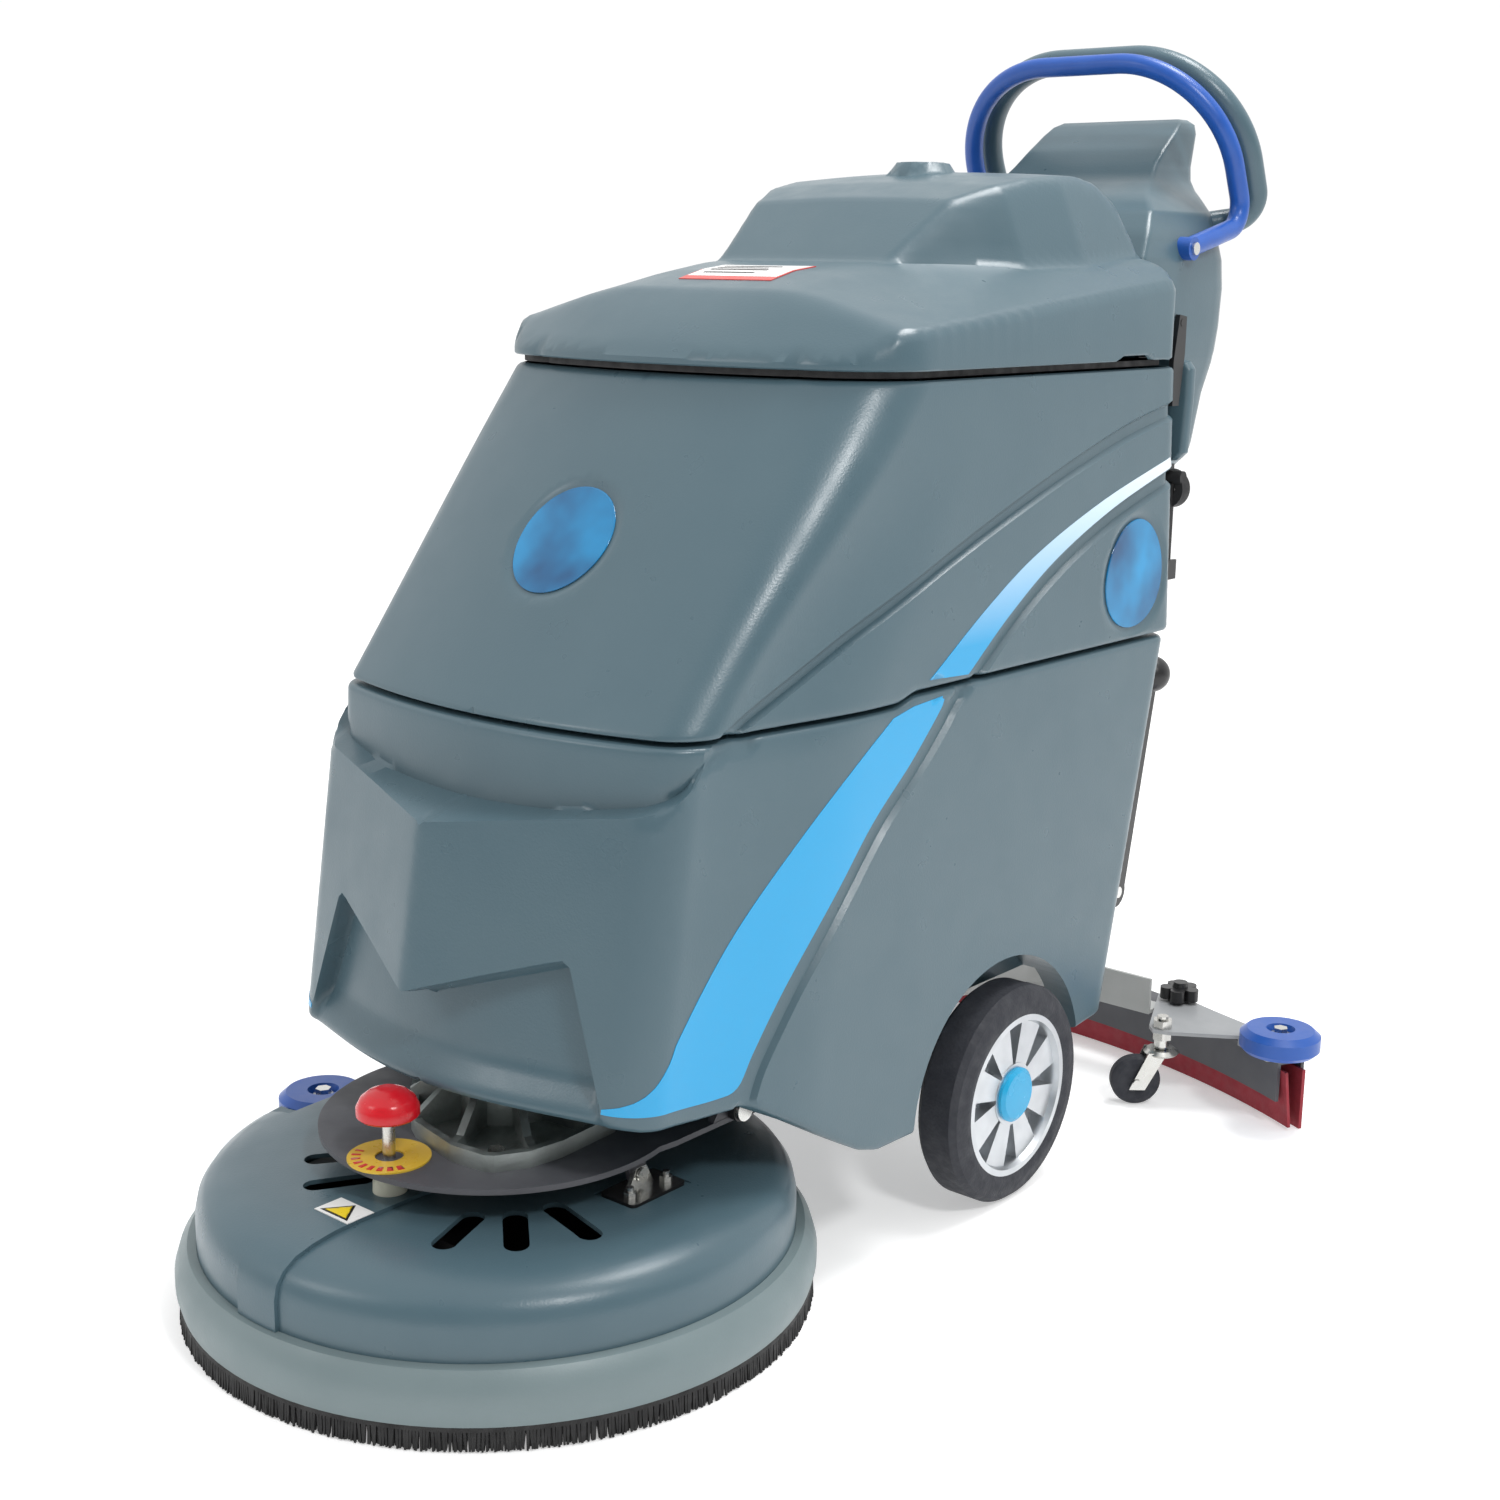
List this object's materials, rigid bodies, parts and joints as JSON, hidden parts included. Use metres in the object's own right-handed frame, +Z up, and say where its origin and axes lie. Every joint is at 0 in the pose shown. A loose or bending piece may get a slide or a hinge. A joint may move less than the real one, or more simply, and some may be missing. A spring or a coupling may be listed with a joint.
{
  "type": "walk-behind floor scrubber",
  "caption": "Walk-behind disc floor scrubber with moulded tanks, tilting disc deck, curved squeegee on casters, spoked wheels and a loop handle with trigger bail.",
  "frame": {"origin": "middle of the overall footprint, on the floor", "axes": "+Z up; the machine drives towards -Y; its left side is +X"},
  "size_m": [0.798, 1.281, 1.1255],
  "materials": {
    "body_plastic": "satin",
    "ring_plastic": "satin",
    "blue_plastic": "satin",
    "black_plastic": "matt",
    "black_rubber": "matt",
    "tyre_rubber": "matt",
    "cap_plastic": "gloss",
    "rim_metal": "satin",
    "cast_aluminium": "cast",
    "motor_steel": "satin",
    "plate_steel": "satin",
    "light_steel": "satin",
    "zinc_steel": "bright",
    "knob_red": "gloss",
    "dial_yellow": "gloss",
    "nylon_white": "satin",
    "button_green": "gloss",
    "blade_red": "matt",
    "bristle_black": "matt",
    "pad_fibre": "open web"
  },
  "bodies": {
    "chassis": {"chassis_frame": "motor_steel", "solution_tank": "body_plastic", "recovery_tank": "body_plastic", "drain_port": "black_plastic", "console_column": "body_plastic", "control_panel": "black_plastic", "motor_controller": "black_plastic", "handle_hoop": "body_plastic", "batteries": "black_plastic", "vacuum_motor": "black_plastic", "float_cage": "black_plastic", "body_fittings": "zinc_steel"},
    "lid": {"recovery_lid": "body_plastic", "lid_gasket": "black_rubber"},
    "bail": {"bail_loop": "blue_plastic"},
    "brush_button": {"brush_button": "button_green"},
    "vacuum_button": {"vacuum_button": "button_green"},
    "key": {"key_switch": "zinc_steel"},
    "fan": {"vacuum_fan": "black_plastic"},
    "float": {"float_ball": "nylon_white"},
    "latch_left": {"latch_strap_left": "black_rubber"},
    "latch_right": {"latch_strap_right": "black_rubber"},
    "lever": {"lift_lever": "black_plastic"},
    "wheel_left": {"tyre_left": "tyre_rubber", "rim_left": "rim_metal", "wheel_cap_left": "cap_plastic"},
    "wheel_right": {"tyre_right": "tyre_rubber", "rim_right": "rim_metal", "wheel_cap_right": "cap_plastic"},
    "lift_arms": {"lift_arms": "motor_steel"},
    "link": {"levelling_link": "motor_steel"},
    "deck_carrier": {"deck_plate": "plate_steel", "tilt_dial": "dial_yellow", "gearbox_casting": "cast_aluminium", "drive_motor": "motor_steel", "carrier_fasteners": "zinc_steel"},
    "brush": {"pad_driver": "black_plastic", "scrub_pad": "pad_fibre"},
    "deck_housing": {"deck_cover": "body_plastic", "splash_ring": "ring_plastic", "bristle_skirt": "bristle_black", "hinge_brackets": "zinc_steel", "stem_nut": "nylon_white"},
    "knob": {"tilt_knob": "knob_red", "tilt_stem": "zinc_steel"},
    "deck_roller": {"deck_roller": "blue_plastic"},
    "squeegee": {"squeegee_arm": "light_steel", "squeegee_channel": "plate_steel", "front_blade": "blade_red", "rear_blade": "blade_red", "caster_outriggers": "plate_steel", "squeegee_bolts": "zinc_steel"},
    "roller_left": {"squeegee_roller_left": "blue_plastic"},
    "roller_right": {"squeegee_roller_right": "blue_plastic"},
    "star_left": {"star_knob_left": "black_plastic"},
    "star_right": {"star_knob_right": "black_plastic"},
    "caster_left": {"caster_fork_left": "zinc_steel"},
    "caster_right": {"caster_fork_right": "zinc_steel"},
    "caster_wheel_left": {"caster_wheel_left": "tyre_rubber"},
    "caster_wheel_right": {"caster_wheel_right": "tyre_rubber"}
  },
  "joints": [
    {"name": "lid_hinge", "type": "hinge", "parent": "chassis", "child": "lid", "pos_m": [0, 0.3735, 0.838], "axis": [-1, 0, 0], "range_deg": [0, 35]},
    {"name": "bail_pivot", "type": "hinge", "parent": "chassis", "child": "bail", "pos_m": [0, 0.4755, 0.911], "axis": [-1, 0, 0], "range_deg": [0, 2.5], "stiffness_Nm_per_rad": 30, "springref_deg": -1.15},
    {"name": "brush_button_press", "type": "slide", "parent": "chassis", "child": "brush_button", "axis": [0, -1, 0], "range_m": [0, 0.003], "stiffness_N_per_m": 400, "springref_m": -0.001},
    {"name": "vacuum_button_press", "type": "slide", "parent": "chassis", "child": "vacuum_button", "axis": [0, -1, 0], "range_m": [0, 0.003], "stiffness_N_per_m": 400, "springref_m": -0.001},
    {"name": "key_turn", "type": "hinge", "parent": "chassis", "child": "key", "pos_m": [0.044, 0.5405, 0.82], "axis": [0, 1, 0], "range_deg": [0, 60]},
    {"name": "fan_spin", "type": "hinge", "parent": "chassis", "child": "fan", "pos_m": [0, 0.4765, 0.715], "axis": [0, 0, 1], "continuous": true},
    {"name": "float_rise", "type": "slide", "parent": "chassis", "child": "float", "axis": [0, 0, 1], "range_m": [0, 0.085]},
    {"name": "latch_left_open", "type": "hinge", "parent": "chassis", "child": "latch_left", "pos_m": [0, 0.3885, 0.588], "axis": [-1, 0, 0], "range_deg": [0, 100]},
    {"name": "latch_right_open", "type": "hinge", "parent": "chassis", "child": "latch_right", "pos_m": [0, 0.3885, 0.588], "axis": [-1, 0, 0], "range_deg": [0, 100]},
    {"name": "lever_pull", "type": "hinge", "parent": "chassis", "child": "lever", "pos_m": [0, 0.3345, 0.25], "axis": [-1, 0, 0], "range_deg": [0, 35]},
    {"name": "squeegee_lift", "type": "hinge", "parent": "chassis", "child": "squeegee", "pos_m": [0, 0.2405, 0.128], "axis": [1, 0, 0], "range_deg": [0, 14]},
    {"name": "wheel_left_spin", "type": "hinge", "parent": "chassis", "child": "wheel_left", "pos_m": [0, 0.0915, 0.1077], "axis": [1, 0, 0], "continuous": true},
    {"name": "wheel_right_spin", "type": "hinge", "parent": "chassis", "child": "wheel_right", "pos_m": [0, 0.0915, 0.1077], "axis": [1, 0, 0], "continuous": true},
    {"name": "deck_lift", "type": "hinge", "parent": "chassis", "child": "lift_arms", "pos_m": [0, -0.04505, 0.18312], "axis": [-1, 0, 0], "range_deg": [0, 7.5]},
    {"name": "deck_level", "type": "hinge", "parent": "lift_arms", "child": "deck_carrier", "pos_m": [0, -0.2245, 0.169], "axis": [-1, 0, 0], "range_deg": [-7.5, 0]},
    {"name": "link_swing", "type": "hinge", "parent": "chassis", "child": "link", "pos_m": [0, -0.04006, 0.16512], "axis": [-1, 0, 0], "range_deg": [0, 7.5]},
    {"name": "brush_spin", "type": "hinge", "parent": "deck_carrier", "child": "brush", "pos_m": [0, -0.3595, 0.06], "axis": [0, 0, 1], "continuous": true},
    {"name": "knob_turn", "type": "hinge", "parent": "deck_carrier", "child": "knob", "pos_m": [0, -0.4845, 0.17], "axis": [0, 0, 1], "range_deg": [-360, 360]},
    {"name": "deck_tilt", "type": "hinge", "parent": "deck_carrier", "child": "deck_housing", "pos_m": [0, -0.3355, 0.14], "axis": [1, 0, 0], "range_deg": [-0.55, 0.55]},
    {"name": "deck_roller_spin", "type": "hinge", "parent": "deck_housing", "child": "deck_roller", "pos_m": [-0.246, -0.3595, 0.091], "axis": [0, 0, 1], "continuous": true},
    {"name": "roller_left_spin", "type": "hinge", "parent": "squeegee", "child": "roller_left", "pos_m": [0.357, 0.4285, 0.085], "axis": [0, 0, 1], "continuous": true},
    {"name": "roller_right_spin", "type": "hinge", "parent": "squeegee", "child": "roller_right", "pos_m": [-0.357, 0.4285, 0.085], "axis": [0, 0, 1], "continuous": true},
    {"name": "star_left_turn", "type": "hinge", "parent": "squeegee", "child": "star_left", "pos_m": [0.204, 0.4905, 0.088], "axis": [0, 0, 1], "continuous": true},
    {"name": "star_right_turn", "type": "hinge", "parent": "squeegee", "child": "star_right", "pos_m": [-0.204, 0.4905, 0.088], "axis": [0, 0, 1], "continuous": true},
    {"name": "caster_left_swivel", "type": "hinge", "parent": "squeegee", "child": "caster_left", "pos_m": [0.232, 0.4025, 0.06], "axis": [0, 0, 1], "continuous": true},
    {"name": "caster_right_swivel", "type": "hinge", "parent": "squeegee", "child": "caster_right", "pos_m": [-0.232, 0.4025, 0.06], "axis": [0, 0, 1], "continuous": true},
    {"name": "caster_left_roll", "type": "hinge", "parent": "caster_left", "child": "caster_wheel_left", "pos_m": [0.21132, 0.38515, 0.027], "axis": [0.6428, -0.766, 0], "continuous": true},
    {"name": "caster_right_roll", "type": "hinge", "parent": "caster_right", "child": "caster_wheel_right", "pos_m": [-0.25268, 0.38515, 0.027], "axis": [0.6428, -0.766, 0], "continuous": true}
  ],
  "couplings": [
    {"joint": "squeegee_lift", "follows": "lever_pull", "ratio": 0.4},
    {"joint": "deck_level", "follows": "deck_lift", "ratio": -1},
    {"joint": "link_swing", "follows": "deck_lift", "ratio": 1},
    {"joint": "deck_tilt", "follows": "knob_turn", "ratio": 0.0015278}
  ]
}
